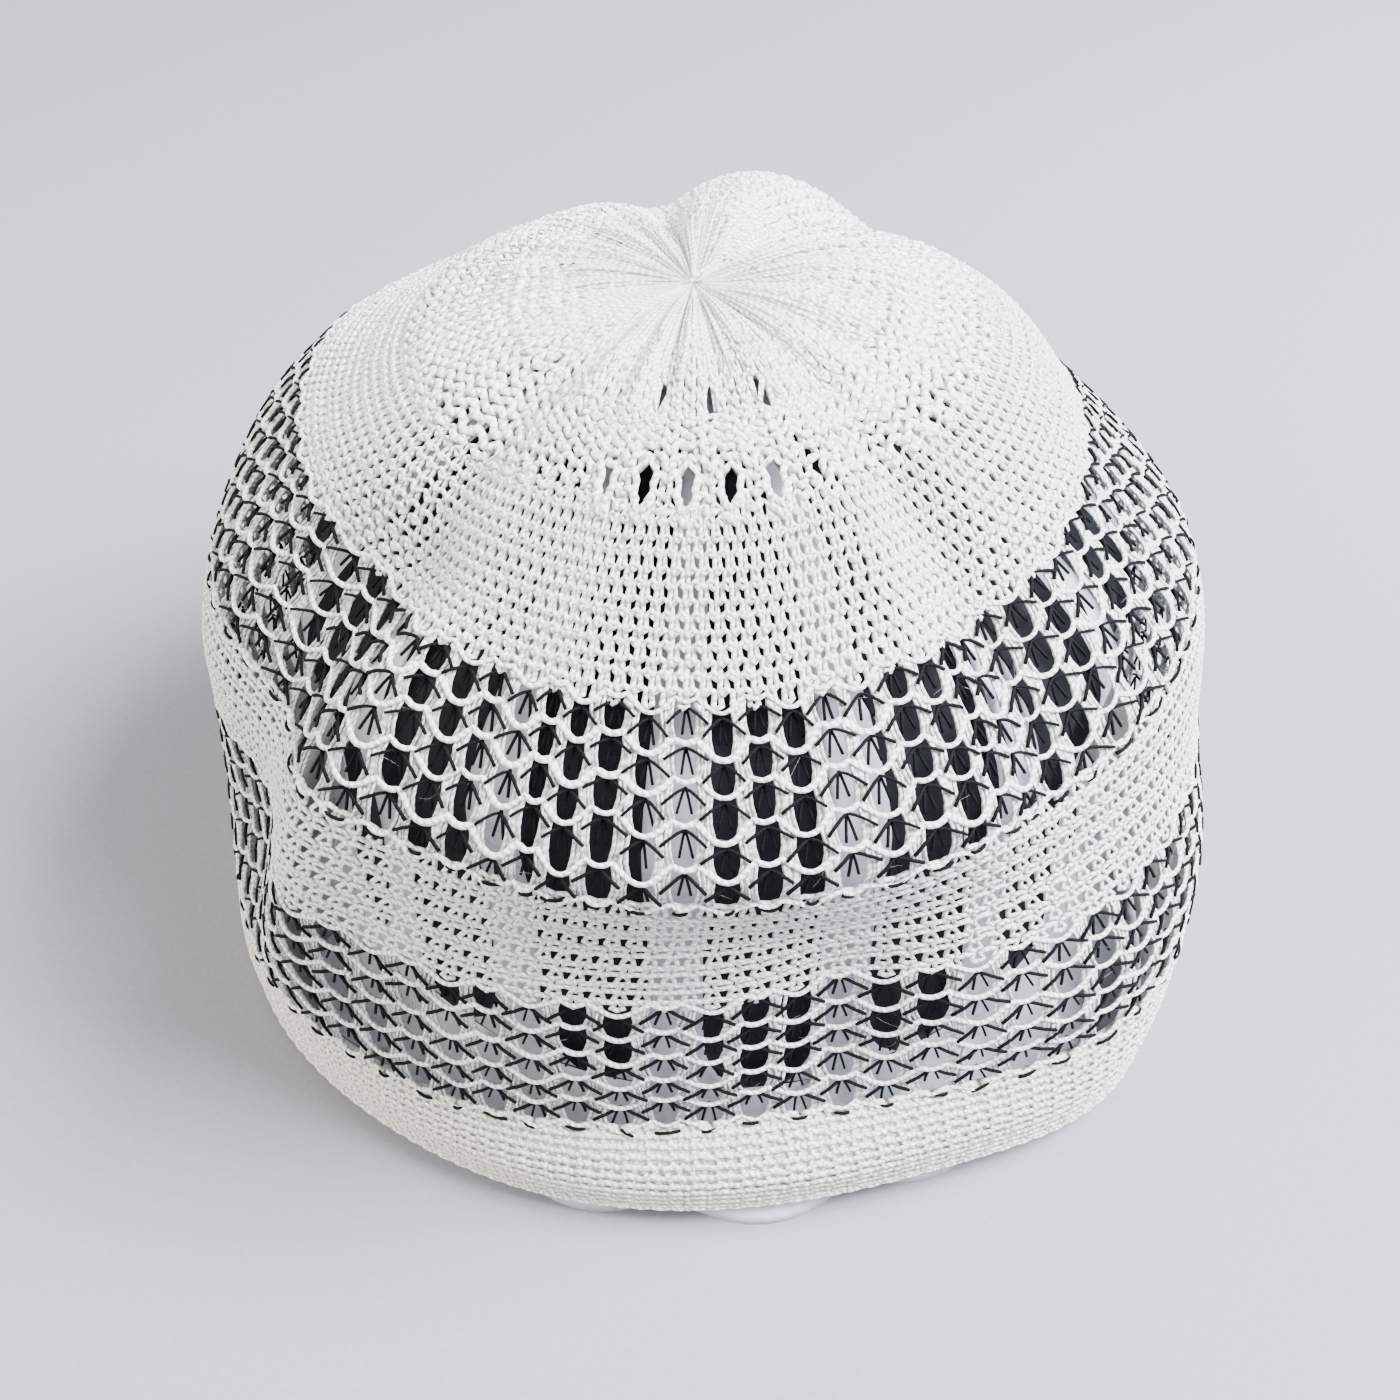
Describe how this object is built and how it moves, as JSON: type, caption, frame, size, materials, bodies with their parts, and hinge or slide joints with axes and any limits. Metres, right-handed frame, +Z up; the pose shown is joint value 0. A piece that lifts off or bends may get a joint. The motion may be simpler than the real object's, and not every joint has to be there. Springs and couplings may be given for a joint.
{
  "type": "kufi on a slotted display stand",
  "caption": "White machine-knitted kufi with two open net bands and a gathered crown, resting on a hollow scalloped display stand.",
  "frame": {"origin": "on the surface that the stand rests on, under the middle of the whole part", "axes": "+Z up out of the crown, -Y the side that the picture shows, +X to the right of that side"},
  "size_m": [0.1848, 0.1794, 0.1335],
  "materials": {
    "crown_knit": "white cotton crown knit with fine holes, drawn together at the middle",
    "net_knit": "open net of white cotton strands with fine black threads",
    "middle_knit": "white cotton knit with wavy rows and fine holes",
    "hem_knit": "dense white cotton knit",
    "stand_plastic": "glossy white moulded plastic, dark inside its slots"
  },
  "bodies": {
    "root": {"crown": "crown_knit", "upper_net_band": "net_knit", "middle_band": "middle_knit", "lower_net_band": "net_knit", "hem_band": "hem_knit", "display_stand": "stand_plastic"}
  },
  "joints": []
}
